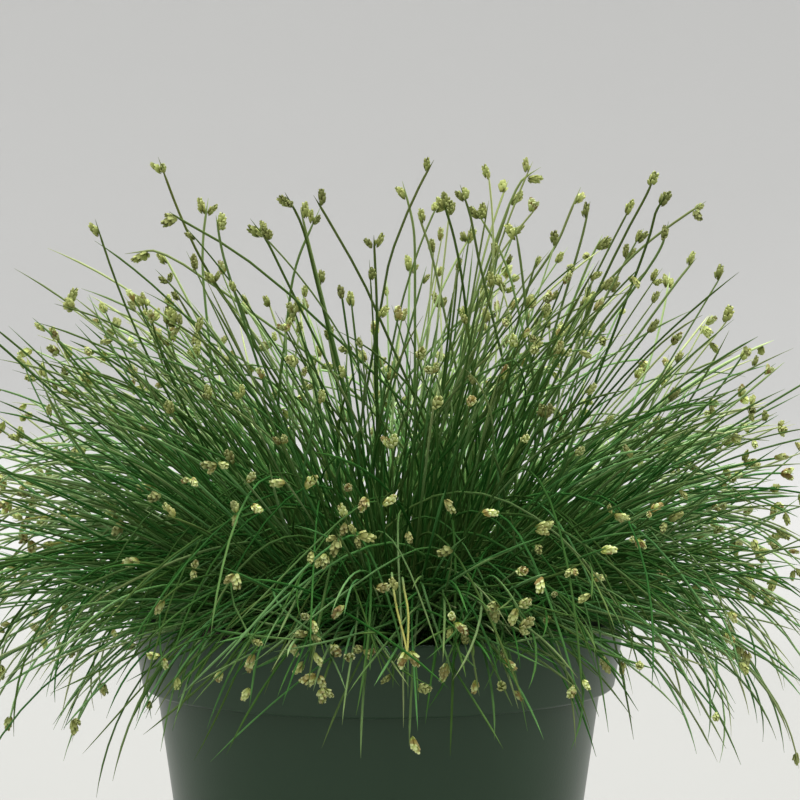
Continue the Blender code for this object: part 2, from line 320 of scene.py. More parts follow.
def pixels_of(points):
    """The columns and rows at which points show in the photograph."""
    ray = points - CAMERA_PLACE
    ahead = ray[:, 1] * math.cos(CAMERA_TILT) - ray[:, 2] * math.sin(CAMERA_TILT)
    up = ray[:, 1] * math.sin(CAMERA_TILT) + ray[:, 2] * math.cos(CAMERA_TILT)
    return IMAGE / 2 + FOCAL_PIXELS * ray[:, 0] / ahead, IMAGE / 2 - FOCAL_PIXELS * up / ahead


def at_depth(pixel, depth):
    """The point that shows at the pixel, at this distance behind the pot's axis."""
    direction = through_pixel(pixel)
    return CAMERA_PLACE + direction * ((depth - CAMERA_PLACE[1]) / direction[1])


def on_shell(pixel, reach, side):
    """Where the pixel's ray meets the ball of this reach round the crown: side -1 is in front.

    A ray that misses the ball gives its nearest point to the crown instead.
    """
    direction = through_pixel(pixel)
    unit = direction / np.linalg.norm(direction)
    nearest = (CROWN_CENTRE - CAMERA_PLACE) @ unit
    gap = np.linalg.norm(CAMERA_PLACE + unit * nearest - CROWN_CENTRE)
    half = math.sqrt(max(reach**2 - gap**2, 0))
    return CAMERA_PLACE + unit * (nearest + side * half)


# Shader maths

class Level:
    """A shader socket that takes Python arithmetic, and adds the Math nodes for it."""

    def __init__(self, finish, socket):
        self.finish = finish
        self.socket = socket

    def maths(self, operation, first, second):
        node = self.finish.node("ShaderNodeMath", {"operation": operation}, {0: first, 1: second})
        return Level(self.finish, node.outputs[0])

    def __add__(self, other):
        return self.maths("ADD", self, other)

    def __mul__(self, other):
        return self.maths("MULTIPLY", self, other)

    def __pow__(self, other):
        return self.maths("POWER", self, other)

    __radd__ = __add__
    __rmul__ = __mul__


class Finish:
    """One Principled material, built node by node."""

    def __init__(self, name, specular):
        self.material = bpy.data.materials.new(name)
        self.material.use_nodes = True
        self.tree = self.material.node_tree
        self.shader = self.tree.nodes["Principled BSDF"]
        self.shader.inputs["Specular IOR Level"].default_value = specular

    def node(self, kind, settings, sockets):
        """Adds a node: its settings first, then the values or links of its sockets."""
        made = self.tree.nodes.new(kind)
        for key, value in settings.items():
            setattr(made, key, value)
        for key, value in sockets.items():
            self.plug(value, made.inputs[key])
        return made

    def plug(self, value, socket):
        """Links a level or a socket, or sets a plain value."""
        if isinstance(value, Level):
            self.tree.links.new(value.socket, socket)
        elif isinstance(value, bpy.types.NodeSocket):
            self.tree.links.new(value, socket)
        else:
            socket.default_value = value

    def attribute(self, name):
        """A number that the mesh carries at each point."""
        made = self.node("ShaderNodeAttribute", {"attribute_name": name}, {})
        return Level(self, made.outputs["Fac"])

    def place(self):
        """Object coordinates."""
        return self.node("ShaderNodeTexCoord", {}, {}).outputs["Object"]

    def speckle(self, scale, detail, stretch=None):
        """Noise in object space, from 0 to 1."""
        vector = self.place()
        if stretch:
            mapping = self.node("ShaderNodeMapping", {}, {"Vector": vector, "Scale": stretch})
            vector = mapping.outputs[0]
        sockets = {"Vector": vector, "Scale": scale, "Detail": detail}
        made = self.node("ShaderNodeTexNoise", {}, sockets)
        return Level(self, made.outputs["Fac"])

    def between(self, value, low, high):
        """The value as a share of the way from low to high, held within 0 and 1."""
        sockets = {"Value": value, "From Min": low, "From Max": high}
        made = self.node("ShaderNodeMapRange", {"clamp": True}, sockets)
        return Level(self, made.outputs["Result"])

    def ramp(self, share, stops):
        """A colour that runs through the stops: (position, colour) pairs."""
        made = self.node("ShaderNodeValToRGB", {}, {"Fac": share})
        elements = made.color_ramp.elements
        elements.remove(elements[1])
        elements[0].position, elements[0].color = stops[0][0], (*stops[0][1], 1)
        for position, colour in stops[1:]:
            elements.new(position).color = (*colour, 1)
        return made.outputs["Color"]

    def mix(self, share, first, second, blend="MIX"):
        """One colour over another."""
        first = first if isinstance(first, bpy.types.NodeSocket) else (*first, 1)
        second = second if isinstance(second, bpy.types.NodeSocket) else (*second, 1)
        made = self.node("ShaderNodeMix", {"data_type": "RGBA", "blend_type": blend}, {})
        self.plug(share, made.inputs["Factor"])
        self.plug(first, made.inputs[6])
        self.plug(second, made.inputs[7])
        return made.outputs[2]

    def shade(self, colour, amount):
        """The colour times a grey level."""
        grey = self.node("ShaderNodeCombineColor", {}, {0: amount, 1: amount, 2: amount})
        return self.mix(1.0, colour, grey.outputs[0], "MULTIPLY")

    def relief(self, height, distance):
        """Bumps the surface by the height level."""
        made = self.node("ShaderNodeBump", {}, {"Height": height, "Distance": distance})
        self.plug(made.outputs["Normal"], self.shader.inputs["Normal"])

    def colour(self, value):
        self.plug(value, self.shader.inputs["Base Color"])

    def roughness(self, value):
        self.plug(value, self.shader.inputs["Roughness"])


def culm_finish():
    """Green culms, pale at the foot and darker over the middle of their length, which is painted
    shade deep in the tussock; the light ones turn pale towards the tip, a painted sheen; more olive
    the higher they stand.
    """
    f = Finish("culm_green", 0.0)
    along = f.attribute("along")
    tone = f.attribute("tone")
    warm = f.attribute("warm")
    dry = f.attribute("dry")
    # Dark culms: the darkest stretch, from 0.35 to 0.75 along, is painted shade deep in the
    # tussock.
    deep = f.ramp(along, (
        (0.0, (0.17, 0.21, 0.065)),
        (0.15, (0.135, 0.2, 0.055)),
        (0.35, (0.068, 0.12, 0.03)),
        (0.55, (0.039, 0.087, 0.019)),
        (0.75, (0.048, 0.1, 0.023)),
        (1.0, (0.09, 0.14, 0.036)),
    ))
    # Light culms: the pale end from 0.75 along is a painted sheen of the top light.
    light = f.ramp(along, (
        (0.0, (0.2, 0.24, 0.07)),
        (0.15, (0.17, 0.28, 0.08)),
        (0.5, (0.21, 0.39, 0.115)),
        (0.75, (0.48, 0.62, 0.3)),
        (1.0, (0.64, 0.69, 0.36)),
    ))
    straw = f.ramp(along, (
        (0.0, (0.16, 0.12, 0.04)),
        (0.6, (0.38, 0.41, 0.1)),
        (1.0, (0.39, 0.38, 0.11)),
    ))
    mottle = f.speckle(240.0, 3.0)
    cold = (0.47, 1, 0.76)
    hue = f.mix(warm + tone * 0.5, cold, (1, 1, 1))
    green = f.mix(1.0, f.mix(tone**1.1, deep, light), hue, "MULTIPLY")
    height = f.node("ShaderNodeSeparateXYZ", {}, {0: f.place()}).outputs["Z"]
    high = f.between(height, OLIVE_FROM, OLIVE_TO)
    # Its pale end, for light tones, carries the painted sheen on the high culms.
    olive = f.mix(tone, (0.084, 0.105, 0.024), (0.5, 0.58, 0.22))
    green = f.mix(high * 0.8, green, olive)
    withered = dry * f.between(along, 0.65, 0.8)
    f.colour(f.mix(withered, f.shade(green, 0.75 + mottle * 0.5), straw))
    f.roughness(0.6)
    return f.material


def spikelet_finish():
    """Scaly spikelets: green when young, cream and browned in patches with age."""
    f = Finish("spikelet", 0.12)
    flare = f.attribute("flare")
    tone = f.attribute("tone")
    age = f.attribute("age")
    young = f.ramp(flare, (
        (0.0, (0.15, 0.175, 0.045)),
        (0.35, (0.275, 0.315, 0.088)),
        (0.7, (0.44, 0.49, 0.165)),
        (1.0, (0.62, 0.68, 0.31)),
    ))
    old = f.ramp(flare, (
        (0.0, (0.38, 0.44, 0.09)),
        (0.3, (0.53, 0.61, 0.16)),
        (0.6, (0.74, 0.83, 0.35)),
        (1.0, (0.9, 0.95, 0.6)),
    ))
    fleck = f.between(f.speckle(430.0, 1.0), 0.51, 0.57)
    brown = (0.24, 0.125, 0.03)
    browned = f.mix(fleck * (0.1 + age * 0.75), f.mix(age, young, old), brown)
    f.colour(f.shade(browned, 0.6 + tone * 0.6))
    f.roughness(0.6)
    return f.material


def pot_finish():
    """Grey moulded plastic, darkened and tinted green by painted shade from the culms over it,
    satin, with a faint cloudiness.
    """
    f = Finish("pot_grey", 0.25)
    cloud = f.speckle(28.0, 4.0)
    grain = f.speckle(1500.0, 2.0)
    # Painted shade: a grey darkened and tinted green for the culms' shade over the pot.
    grey_in_green_shade = (0.03, 0.061, 0.033)
    f.colour(f.shade(grey_in_green_shade, 0.85 + cloud * 0.3))
    f.roughness(0.26 + cloud * 0.14)
    f.relief(grain, 0.02 * MM)
    return f.material


def soil_finish():
    """Dark moist peat mix with lighter fibres and crumbs."""
    f = Finish("potting_soil", 0.3)
    crumbs = f.speckle(420.0, 6.0)
    fibre = f.between(f.speckle(700.0, 3.0, (1, 0.15, 1)), 0.6, 0.68)
    dark = f.ramp(crumbs, ((0.3, (0.04, 0.034, 0.016)), (0.7, (0.12, 0.09, 0.045))))
    fibre_brown = (0.2, 0.13, 0.07)
    f.colour(f.mix(fibre * 0.6, dark, fibre_brown))
    f.roughness(0.9)
    f.relief(crumbs, 0.8 * MM)
    return f.material


def crown_finish():
    """The crowded feet of the culms: brown-green and fibrous."""
    f = Finish("crown_bases", 0.3)
    strand = f.speckle(520.0, 4.0)
    f.colour(f.ramp(strand, (
        (0.3, (0.05, 0.1, 0.022)),
        (0.55, (0.08, 0.17, 0.035)),
        (0.75, (0.2, 0.2, 0.06)),
    )))
    f.roughness(0.85)
    f.relief(strand, 1.0 * MM)
    return f.material


# Modelling

Pattern = namedtuple("Pattern", "points faces")
Culm = namedtuple("Culm", "path radius tone warm dry bract stout")
Head = namedtuple("Head", "place axis length girth spin tone age")


def start(name):
    """Names the primitive just added, and opens it for editing with all of it selected."""
    piece = bpy.context.object
    piece.name = name
    piece.data.name = name
    bpy.ops.object.mode_set(mode="EDIT")
    bpy.ops.mesh.select_all(action="SELECT")
    return piece


def nothing_selected():
    bpy.ops.object.select_all(action="DESELECT")


def raised(name, profile, sides):
    """A round piece raised from its base disc: the cap is drawn up ring by ring.

    The profile is (radius, height) points. The piece stays open for editing, with only the
    cap selected.
    """
    nothing_selected()
    radius, height = profile[0]
    bpy.ops.mesh.primitive_circle_add(vertices=sides, radius=radius, fill_type="NGON",
                                      location=(0, 0, height))
    piece = start(name)
    for next_radius, next_height in profile[1:]:
        rise = next_height - height
        bpy.ops.mesh.extrude_region_move(TRANSFORM_OT_translate={"value": (0, 0, rise)})
        size = next_radius / radius
        bpy.ops.transform.resize(value=(size, size, 1))
        radius, height = next_radius, next_height
    return piece


def finish_edit(piece):
    """Closes the edit, turns the faces outward and applies the object's place."""
    bpy.ops.mesh.select_all(action="SELECT")
    bpy.ops.mesh.normals_make_consistent(inside=False)
    bpy.ops.object.mode_set(mode="OBJECT")
    nothing_selected()
    piece.select_set(True)
    bpy.context.view_layer.objects.active = piece
    bpy.ops.object.transform_apply(location=True, rotation=True, scale=True)
    return piece


def clad(piece, material):
    """Gives the piece its only material."""
    piece.data.materials.clear()
    piece.data.materials.append(material)


def model_culm():
    """One straight culm, 1 long and 1 in radius, cut across at its stations."""
    nothing_selected()
    bpy.ops.mesh.primitive_cylinder_add(vertices=CULM_SIDES, radius=1, depth=1,
                                        location=(0, 0, 0.5), end_fill_type="TRIFAN")
    piece = start("culm_pattern")
    for height in CULM_STATIONS:
        bpy.ops.mesh.select_all(action="SELECT")
        bpy.ops.mesh.bisect(plane_co=(0, 0, height), plane_no=(0, 0, 1))
    return finish_edit(piece)


def model_spindle():
    """The plump spindle inside a spikelet, 1 long."""
    middle = (0, 0, 0.5)
    girth = SPIKELET_GIRTH * 1.3  # shares of the round start, 1 across
    height = 0.9
    nothing_selected()
    bpy.ops.mesh.primitive_uv_sphere_add(segments=5, ring_count=3, radius=0.5, location=middle)
    piece = start("spindle_pattern")
    bpy.ops.transform.resize(value=(girth, girth, height), center_override=middle)
    return finish_edit(piece)


def model_scale():
    """One scale of a spikelet, 1 long: a keeled blade, its keel towards +X, pointed above."""
    middle = (0, 0, 0.5)
    belly_drop = 0.16
    nothing_selected()
    bpy.ops.mesh.primitive_uv_sphere_add(segments=3, ring_count=2, radius=0.5, location=middle)
    piece = start("scale_pattern")
    bpy.ops.transform.resize(value=(0.3, 0.6, 1), center_override=middle)
    bm = bmesh.from_edit_mesh(piece.data)
    for vertex in bm.verts:
        vertex.select = 0.4 < vertex.co.z < 0.6
    bmesh.update_edit_mesh(piece.data)
    bpy.ops.transform.translate(value=(0, 0, -belly_drop))
    return finish_edit(piece)


def as_pattern(piece):
    """Reads a modelled pattern's corners and faces, and removes its object."""
    mesh = piece.data
    points = np.array([v.co[:] for v in mesh.vertices])
    faces = [tuple(p.vertices) for p in mesh.polygons]
    bpy.data.objects.remove(piece)
    return Pattern(points, faces)


def spikelet_pattern():
    """One spikelet, 1 long: a spindle in a spiral of scales.

    With it comes how far each corner is on the way from its scale's foot to its point.
    """
    spindle = as_pattern(model_spindle())
    scale = as_pattern(model_scale())
    points = [spindle.points]
    faces = list(spindle.faces)
    for k in range(SPIKELET_SCALES):
        share = k / (SPIKELET_SCALES - 1)  # the scale's place, from the lowest to the top one
        plump = math.sin(math.pi * (0.2 + 0.62 * share))  # most just under the middle
        flare = math.radians(SCALE_FLARE - SCALE_FLARE * share + EXTRA_FLARES[k % 3])
        turn = math.radians(SCALE_TURN * k)
        length = 0.5 - 0.06 * share  # the upper scales are a little shorter
        foot = 0.02 + 0.54 * share  # the height at which it is joined
        x = scale.points[:, 0] * length
        y = scale.points[:, 1] * length * (0.6 + 0.4 * plump)
        z = scale.points[:, 2] * length
        out = x * math.cos(flare) + z * math.sin(flare) + SPIKELET_GIRTH * 0.55 * plump
        up = z * math.cos(flare) - x * math.sin(flare) + foot
        first = sum(len(p) for p in points)
        points.append(np.stack((out * math.cos(turn) - y * math.sin(turn),
                                out * math.sin(turn) + y * math.cos(turn), up), 1))
        faces += [tuple(v + first for v in face) for face in scale.faces]
    flares = np.concatenate([spindle.points[:, 2] * 0] + [scale.points[:, 2]] * SPIKELET_SCALES)
    return Pattern(np.concatenate(points), faces), flares


def repeated(name, pattern, copies, layers):
    """A mesh of the pattern's copies: an array of each copy's corners, and point layers."""
    count = len(pattern.points)
    faces = [tuple(v + i * count for v in face)
             for i in range(len(copies)) for face in pattern.faces]
    mesh = bpy.data.meshes.new(name)
    mesh.from_pydata(np.concatenate(copies).tolist(), [], faces)
    for layer, values in layers.items():
        made = mesh.attributes.new(layer, "FLOAT", "POINT")
        made.data.foreach_set("value", np.concatenate(values).astype(np.float32))
    piece = bpy.data.objects.new(name, mesh)
    bpy.context.scene.collection.objects.link(piece)
    mesh.shade_smooth()
    return piece


def strip_map(piece, pattern, copies):
    """A UV map that gives each copy a strip of its own: round the culm across, along it up."""
    turn = np.arctan2(pattern.points[:, 1], pattern.points[:, 0]) / (2 * math.pi) % 1
    on_axis = np.hypot(pattern.points[:, 0], pattern.points[:, 1]) < AXIS_WIDTH
    across = []
    for face in pattern.faces:
        values = [turn[v] for v in face]
        if max(values) - min(values) > 0.5:  # the face where the turn starts again
            values = [v + 1 if v < 0.5 else v for v in values]
        rim = [v for v, corner in zip(values, face) if not on_axis[corner]]
        middle = sum(rim) / len(rim)
        across += [middle if on_axis[corner] else v for v, corner in zip(values, face)]
    across = np.array(across) / WIDEST_TURN
    up = pattern.points[[v for face in pattern.faces for v in face], 2]
    width = 1 / copies
    side, end = 0.1, 0.01  # margins of a strip, as shares of its width and length
    layer = piece.data.uv_layers.new(name="OFBake")
    strips = [np.stack((width * (i + side + (1 - 2 * side) * across),
                        end + (1 - 2 * end) * up), 1) for i in range(copies)]
    layer.data.foreach_set("uv", np.concatenate(strips).astype(np.float32).ravel())


def even_path(points):
    """The points of a rough path, rounded off and spaced evenly."""
    points = np.array(points, dtype=float)
    for _ in range(3):  # each time, every corner is cut off a quarter of the way along
        quarter = points[:-1] * 0.75 + points[1:] * 0.25
        far = points[:-1] * 0.25 + points[1:] * 0.75
        rounded = np.stack((quarter, far), 1).reshape(-1, 3)
        points = np.concatenate([points[:1], rounded, points[-1:]])
    return spaced(points, np.linspace(0, 1, PATH_STEPS + 1))


def spaced(points, shares):
    """The places at these shares of the path's length."""
    lengths = np.linalg.norm(np.diff(points, axis=0), axis=1)
    run = np.concatenate(([0], np.cumsum(lengths)))
    return np.stack([np.interp(np.array(shares) * run[-1], run, points[:, k]) for k in range(3)], 1)


def curve(*points):
    """Evenly spaced points of a curve from the first point to the last, drawn to those between."""
    t = np.linspace(0, 1, 3 * PATH_STEPS)[:, None]
    while len(points) > 1:
        points = [a * (1 - t) + b * t for a, b in zip(points, points[1:])]
    return spaced(points[0], np.linspace(0, 1, PATH_STEPS + 1))


def lengthened(path, extra):
    """The path, run on straight past its end."""
    along = path[-1] - path[-2]
    end = path[-1] + along / np.linalg.norm(along) * extra
    return spaced(np.concatenate((path, [end])), np.linspace(0, 1, PATH_STEPS + 1))


def path_length(path):
    return np.linalg.norm(np.diff(path, axis=0), axis=1).sum()


def clears_pot(path):
    """Whether the path passes over the rim, not through the pot or the soil, and ends in reach."""
    out = np.hypot(path[:, 0], path[:, 1])
    if out.max() > WIDEST:
        return False
    over_wall = (out > WALL_INSIDE) & (out < WALL_OUTSIDE)
    inside = out <= WALL_INSIDE
    over_rim = (path[over_wall, 2] > RIM_HEIGHT + WALL_CLEARANCE).all()
    return over_rim and (path[inside, 2] > SOIL_TOP).all()


def thinning(path):
    """The share left out of the culms that take this path."""
    columns, rows = pixels_of(path)
    shares = [share for x, y, radius, share in THIN_PLACES
              if (np.hypot(columns - x, rows - y) < radius).any()]
    return max(shares, default=0)


def arches_in_front(path):
    """Whether the path passes high over the front and is level or falls at its end."""
    level = path[-1][2] < path[-ARCH_END][2] + ARCH_END_RISE
    in_front = path[:, 1].mean() < -ARCH_DEPTH
    return level and in_front and path[:, 2].max() > RIM_HEIGHT + ARCH_HEIGHT


def crown_point(distance, turn):
    """A point on the crown's dome, a little under its surface."""
    fall = (CROWN_RISE - CROWN_EDGE) * (distance / CROWN_RADIUS) ** 2
    rise = max(CROWN_RISE - fall - ROOT_DEPTH, LOWEST_ROOT)
    return np.array((CROWN_MIDDLE + distance * math.cos(turn), distance * math.sin(turn),
                     SOIL_TOP + rise))


def scatter(rng, spread):
    """A random lean in any direction."""
    return np.array((rng.gauss(0, spread), rng.gauss(0, spread)))


def grown_path(rng):
    """The path of a culm that grows anywhere on the crown."""
    while True:
        distance = FILLED_RADIUS * rng.random() ** ROOT_CROWDING
        turn = rng.uniform(0, 2 * math.pi)
        if distance < MIDDLE and rng.random() < MIDDLE_THINNING:
            continue
        in_front = distance > MIDDLE and math.sin(turn) < FRONT_SINE
        if in_front and rng.random() < FRONT_THINNING:
            continue
        outward = np.array((math.cos(turn), math.sin(turn)))
        root_tilt = np.interp(distance, ROOT_DISTANCES, ROOT_TILTS)
        tip_tilt = np.interp(distance, ROOT_DISTANCES, TIP_TILTS)
        at_root = outward * root_tilt + scatter(rng, ROOT_SCATTER)
        at_tip = outward * tip_tilt + scatter(rng, TIP_SCATTER)
        shares = ((np.arange(PATH_STEPS) + 0.5) / PATH_STEPS) ** rng.uniform(*BEND_POWERS)
        lean = at_root + (at_tip - at_root) * shares[:, None]
        tilt = np.hypot(lean[:, 0], lean[:, 1])[:, None]
        steps = np.concatenate((lean * np.sin(tilt) / tilt, np.cos(tilt)), axis=1) / PATH_STEPS
        path = np.concatenate((np.zeros((1, 3)), np.cumsum(steps, axis=0)))
        length = np.interp(distance, ROOT_DISTANCES, CULM_LENGTHS)
        length *= np.interp(math.atan2(path[-1][0], path[-1][2]), DIP_LEANS, DIP_SHARES)
        shortest = SHORTEST_UPRIGHT_SHARE if distance < MIDDLE else SHORTEST_SHARE
        tall = rng.random() < TALL_CHANCE
        length *= TALL_SHARE if tall else rng.triangular(shortest, 1, USUAL_SHARE)
        path = crown_point(distance, turn) + path * length
        if rng.random() < thinning(path):
            continue
        if arches_in_front(path) and rng.random() < ARCH_THINNING:
            continue
        if clears_pot(path):
            return path


def root_below(head):
    """Where on the crown a culm with its head here would be rooted."""
    reach = head - CROWN_CENTRE
    tilt = math.atan2(math.hypot(reach[0], reach[1]), reach[2])
    middles = [(a + b) / 2 for a, b in zip(ROOT_TILTS, TIP_TILTS)]
    distance = float(np.interp(tilt, middles, ROOT_DISTANCES))
    return crown_point(min(distance, FILLED_RADIUS), math.atan2(reach[1], reach[0]))


def bowed_path(head, arch, bow):
    """The path to a head whose culm doesn't show: an arch that clears the pot."""
    root = root_below(head)
    chord = np.linalg.norm(head - root)
    flat = math.hypot(*(head - root)[:2])
    lift = arch * flat * flat / chord
    while True:
        over = root * (1 - bow) + head * bow + np.array((0, 0, lift))
        path = curve(root, over, head)
        if clears_pot(path) or lift > chord:
            return path
        lift += ARCH_STEP


def draped_path(rng):
    """A culm that arches over the rim towards the camera and hangs in front of the pot."""
    left, right = DRAPE_ACROSS
    while True:
        column = left + (right - left) * rng.betavariate(DRAPE_CROWDING, DRAPE_CROWDING)
        pixel = (column, rng.uniform(*DRAPE_DOWN))
        head = on_shell(pixel, rng.uniform(*DRAPE_REACH) * MM, -1)
        turn = math.atan2(head[1], head[0] - CROWN_MIDDLE) + rng.gauss(0, DRAPE_TURN)
        root = crown_point(CROWN_RADIUS * rng.uniform(*DRAPE_ROOTS), turn)
        sway = np.array((root[1] - head[1], head[0] - root[0], 0)) * rng.gauss(0, DRAPE_SWAY)
        # the culm is drawn to two points, three tenths and eight tenths of the way out
        near = root * 0.7 + head * 0.3 + sway
        far = root * 0.2 + head * 0.8 + sway * rng.uniform(0, 1)
        near[2] = root[2] + np.interp(rng.random(), *DRAPE_RISES) * MM
        far[2] = head[2] + (near[2] - head[2]) * rng.uniform(*DRAPE_FALLS)
        path = curve(root, near, far, head)
        if clears_pot(path):
            return path


def root_ahead(low, step, root):
    """Where on the crown a culm is rooted that runs on past its lowest drawn point by this step."""
    side_limit = 0.7 * CROWN_RADIUS
    limit = 0.9 * CROWN_RADIUS
    reach = low + step * (low[2] - root[2]) / -step[2]
    lean = min(max(reach[0] - CROWN_MIDDLE, -side_limit), side_limit)
    distance = min(math.hypot(lean, root[1]), limit)
    return crown_point(distance, math.atan2(root[1], lean))


def drawn_path(pixels, depth):
    """The path through the pixels of a culm that shows, its head this far behind the axis."""
    fall = 3 * MM
    nearer = 0.1  # how much of the way to the root's depth each pixel is nearer than the last
    root = root_below(at_depth(pixels[0], depth))
    shares = [1 - nearer * k for k in range(len(pixels))]
    points = [at_depth(p, depth * s + root[1] * (1 - s)) for p, s in zip(pixels, shares)]
    low = points[-1]
    step = low - points[-2]
    if step[2] < -fall:  # it comes down to its root
        root = root_ahead(low, step, root)
        foot = low + step / np.linalg.norm(step) * np.linalg.norm(low - root) * 0.5
    else:  # it hangs over, and bows on the way from its root
        foot = root * 0.55 + low * 0.45
        foot[2] += 0.06 * np.linalg.norm(low - root)
    return even_path([root, foot] + points[::-1])


def frames(path):
    """Two directions square to the path at each of its points."""
    forward = np.gradient(path, axis=0)
    forward /= np.linalg.norm(forward, axis=1)[:, None]
    heading = path[-1] - path[0]
    nudge = 1e-6  # so that an upright path has a side too
    level = np.array((nudge - heading[1], heading[0], 0))
    level /= np.linalg.norm(level)
    across = level - forward * (forward @ level)[:, None]
    across /= np.linalg.norm(across, axis=1)[:, None]
    return across, np.cross(forward, across)


def closer_in_bends(path, shares):
    """These shares of the path's length, shifted so that more of them lie where it bends."""
    steps = np.diff(path, axis=0)
    lengths = np.linalg.norm(steps, axis=1)
    forward = steps / lengths[:, None]
    turns = np.linalg.norm(np.diff(forward, axis=0), axis=1)
    bends = np.concatenate((turns[:1], (turns[1:] + turns[:-1]) / 2, turns[-1:]))
    slight = 0.5  # radians in all, under which bends count for less than length
    weights = lengths / lengths.sum() + bends / max(bends.sum(), slight)
    marks = np.concatenate(([0], np.cumsum(weights / weights.sum())))
    run = np.concatenate(([0], np.cumsum(lengths / lengths.sum())))
    return np.interp(shares, marks, run)


def swept(pattern, culm, rings):
    """The corners of one culm: the pattern bent along the path, thinner towards the tip."""
    shares = closer_in_bends(culm.path, np.array(rings))
    centres = spaced(culm.path, shares)
    across, up = frames(centres)
    bract = culm.bract / path_length(culm.path)
    taper = 1 - CULM_TAPER * shares
    point = np.clip((1 - shares) / bract, BRACT_POINT, 1)
    radii = culm.radius * taper * point
    index = np.searchsorted(rings, pattern.points[:, 2] - RING_GAP)
    x = (pattern.points[:, 0] * radii[index])[:, None]
    y = (pattern.points[:, 1] * radii[index])[:, None]
    return centres[index] + x * across[index] + y * up[index]


def heads_of(culm, rng):
    """The spikelets at a culm's tip: mostly one, now and then two or three together."""
    base = culm.path[-1]
    along = culm.path[-1] - culm.path[-3]
    along /= np.linalg.norm(along)
    count = rng.choices((1, 2, 3), STOUT_CLUSTERS if culm.stout else CLUSTERS)[0]
    in_front, behind, high_up = YOUTH
    youth = in_front if base[1] < OLD_FRONT else behind if base[2] < YOUNG_ABOVE else high_up
    age = rng.random() ** youth * (STOUT_AGE if culm.stout else 1)
    shortest = STOUT_HEAD_SHORTEST if culm.stout else HEAD_SHORTEST
    upright = along[2] > UPRIGHT
    made = []
    for i in range(count):
        side = np.array([rng.gauss(0, 1) for _ in range(3)])
        side -= along * (side @ along)
        side /= np.linalg.norm(side)
        if upright:
            axis = along + side * rng.uniform(*UPRIGHT_LEANS) * (1 + i)
        else:
            axis = along * 0.35 + side * rng.uniform(*OTHER_LEANS)
            axis[2] += rng.uniform(*OTHER_DROPS)
        axis /= np.linalg.norm(axis)
        length = SPIKELET_LENGTH * rng.uniform(shortest, HEAD_LONGEST) * (1 - SMALLER_EACH * i)
        place = base - along * (culm.bract * HEAD_SEAT) + side * culm.radius
        tone = rng.random()
        girth = rng.uniform(*HEAD_GIRTHS)
        spin = rng.uniform(0, HEAD_SPIN)
        made.append(Head(place, axis, length, girth, spin, tone, age))
    return made


def placed(pattern, head):
    """The corners of one spikelet, at its place on its culm."""
    axis = Vector(head.axis)
    turn = np.array(axis.to_track_quat("Z", "Y").to_matrix())
    c, s = math.cos(head.spin), math.sin(head.spin)
    spun = pattern.points @ np.array(((c, s, 0), (-s, c, 0), (0, 0, 1)))
    sized = spun * np.array((head.girth, head.girth, 1)) * head.length
    return head.place + sized @ turn.T


def bearing_chance(tip):
    """How likely a culm is to bear spikelets, by the place of its tip."""
    if tip[2] > UPPER_TIPS:
        return UPPER_BEARING if tip[2] < TOP_TIPS else 1
    return FRONT_BEARING if tip[1] < FRONT_TIPS else BACK_BEARING


def culm_paths(rng):
    """The paths of all the culms but the straws, and whether each bears spikelets.

    Those that are drawn whole against the wall come first.
    """
    paths = []
    for pixels in DRAWN_CULMS:
        paths.append((drawn_path(pixels, rng.uniform(*DRAWN_DEPTHS) * MM), True))
    for pixel in OPEN_HEADS:
        side = rng.choice((-1, 1))
        head = on_shell(pixel, rng.uniform(*OPEN_REACH) * MM, side)
        paths.append((bowed_path(head, OPEN_ARCH, OPEN_BOW), True))
    for pixel in FRONT_HEADS:
        head = on_shell(pixel, rng.uniform(*FRONT_REACH) * MM, -1)
        arches = FRONT_HIGH_ARCHES if head[2] > FRONT_HIGH else FRONT_LOW_ARCHES
        paths.append((bowed_path(head, rng.uniform(*arches), FRONT_BOW), True))
    for pixels in FRONT_CULMS:
        paths.append((drawn_path(pixels, -rng.uniform(*FRONT_CULM_DEPTHS) * MM), True))
    for _ in range(DRAPE_COUNT):
        paths.append((draped_path(rng), rng.random() < DRAPE_BEARING))
    for _ in range(CULM_COUNT):
        path = grown_path(rng)
        paths.append((path, rng.random() < bearing_chance(path[-1])))
    return paths


def tone_of(path, in_front, stout, rng):
    """How light a culm is: dark in front, painted shade under the tussock, but for those low at the
    sides; mixed behind, where a share get a pale painted sheen.
    """
    if in_front:
        # Painted shade: the culms in front are darkened.
        tone = FRONT_SHADED_TONE * rng.random() ** FRONT_SHADE_DARKNESS
        beside = abs(path[-1][0]) > SIDE_TIPS and path[-1][2] < RIM_HEIGHT
        if beside and path[:, 2].max() < SIDE_HEIGHT:
            tone += rng.uniform(*SIDE_LIGHT)
        return tone
    if stout:
        return rng.uniform(*STOUT_TONES)
    # Painted sheen on a share of the culms behind.
    if rng.random() < SHEEN_CHANCE:
        return rng.uniform(*SHEEN_TONES)
    return DARKEST + BACK_TONE * rng.random() ** BACK_DARKNESS


